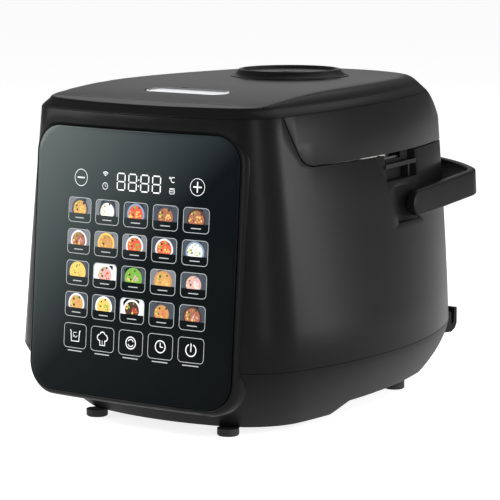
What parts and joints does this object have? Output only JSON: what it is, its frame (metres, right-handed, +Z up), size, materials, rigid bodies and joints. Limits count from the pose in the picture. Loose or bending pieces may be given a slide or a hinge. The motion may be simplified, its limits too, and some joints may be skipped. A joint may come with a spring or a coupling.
{
  "type": "multicooker",
  "caption": "Countertop electric multicooker with a hinged lid, lift-out steam cap, latch button, touch-glass front, removable pot and swinging carrying bail",
  "frame": {"origin": "on the floor under the middle of the bounding box", "axes": "+Z up, the touch panel faces -Y, +X is to the right seen from the front"},
  "size_m": [0.2912, 0.3746, 0.2765],
  "materials": {
    "black_satin": "satin black moulding",
    "black_matte": "matte black moulding",
    "inner_grey": "dark grey inner moulding",
    "glass": "glossy black back-printed glass",
    "chrome": "polished chrome",
    "foot_rubber": "matt rubber",
    "steel": "plain steel",
    "aluminium": "cast aluminium",
    "nonstick": "dark speckled non-stick coating",
    "silicone": "translucent white silicone",
    "board": "green solder mask",
    "component": "moulded component case",
    "coil_copper": "enamelled copper and yellow tape",
    "brass": "plated brass"
  },
  "bodies": {
    "body": {"base_shell": "black_matte", "foot_front_left": "foot_rubber", "foot_front_right": "foot_rubber", "foot_rear_left": "foot_rubber", "foot_rear_right": "foot_rubber", "base_screws": "steel", "outer_body": "black_satin", "panel_frame": "black_satin", "touch_glass": "glass", "control_board": "board", "display_module": "component", "power_board": "board", "relay": "component", "capacitors": "component", "transformer": "coil_copper", "deck": "inner_grey", "inner_housing": "aluminium", "heat_band": "steel", "heater_plate": "aluminium", "heater_legs": "steel", "heater_terminals": "steel", "sensor_bracket": "steel", "sensor_spring": "steel", "cooking_pot": "nonstick", "power_inlet": "black_matte", "inlet_pins": "brass", "cord_hook": "black_matte", "ladle_bar": "black_satin", "latch_strike": "steel", "hinge_bracket": "black_matte", "hinge_pin": "steel", "lid_spring": "steel", "pivot_pin_left": "black_matte", "pivot_pin_right": "black_matte"},
    "lid": {"lid_cover": "black_satin", "lid_skirt": "black_satin", "lid_liner": "inner_grey", "lid_hinge_arms": "black_matte", "lid_screws": "steel", "inner_lid": "aluminium", "lid_gasket": "silicone", "steam_duct": "inner_grey", "duct_seal": "silicone", "button_springs": "steel", "hook_pin": "steel"},
    "sensor": {"temperature_sensor": "aluminium"},
    "bail": {"carrying_bail": "black_satin"},
    "cap": {"steam_cap": "black_satin"},
    "button": {"latch_button": "chrome"},
    "hook": {"latch_hook": "steel"}
  },
  "joints": [
    {"name": "lid_hinge", "type": "hinge", "parent": "body", "child": "lid", "pos_m": [0, 0.1521, 0.225], "axis": [-1, 0, 0], "range_deg": [0, 85]},
    {"name": "button_press", "type": "slide", "parent": "lid", "child": "button", "axis": [0, 0.1219, -0.9925], "range_m": [0, 0.0025], "stiffness_N_per_m": 600, "springref_m": -0.001, "deforming": ["button_springs"]},
    {"name": "hook_turn", "type": "hinge", "parent": "lid", "child": "hook", "pos_m": [0, -0.0874, 0.246], "axis": [1, 0, 0], "range_deg": [0, 12]},
    {"name": "bail_swing", "type": "hinge", "parent": "body", "child": "bail", "pos_m": [0, 0.0443, 0.1713], "axis": [1, 0, 0], "range_deg": [0, 84]},
    {"name": "cap_lift", "type": "slide", "parent": "lid", "child": "cap", "axis": [0, 0, 1], "range_m": [0, 0.012]},
    {"name": "sensor_travel", "type": "slide", "parent": "body", "child": "sensor", "axis": [0, 0, -1], "range_m": [0, 0.002], "stiffness_N_per_m": 900, "springref_m": -0.002, "deforming": ["sensor_spring"]}
  ],
  "couplings": [
    {"joint": "hook_turn", "follows": "button_press", "rad_per_m": 70}
  ]
}
